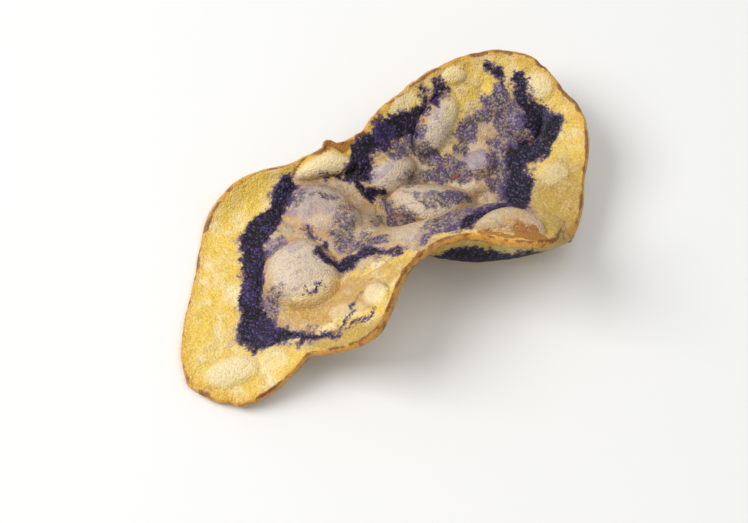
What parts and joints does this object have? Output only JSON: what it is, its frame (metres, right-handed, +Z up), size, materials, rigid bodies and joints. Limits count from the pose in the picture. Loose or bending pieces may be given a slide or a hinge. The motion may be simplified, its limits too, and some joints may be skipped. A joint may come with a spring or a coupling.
{
  "type": "fried potato crisp",
  "caption": "Curled, blistered potato crisp: a thin slice of a marbled yellow potato, folded along a slanting crease, with a lobe, a tall back wall and a lipped flap.",
  "frame": {"origin": "centre of the bounding box, on the surface that the crisp rests on", "axes": "+Z up from that surface, +Y along the longest way from the front lobe to the tall back wall, +X towards the lipped flap"},
  "size_m": [0.0402, 0.0778, 0.0198],
  "materials": {
    "fried_potato": "oily satin, golden flesh with dark purple marbling"
  },
  "bodies": {
    "root": {"crisp": "fried_potato"}
  },
  "joints": []
}
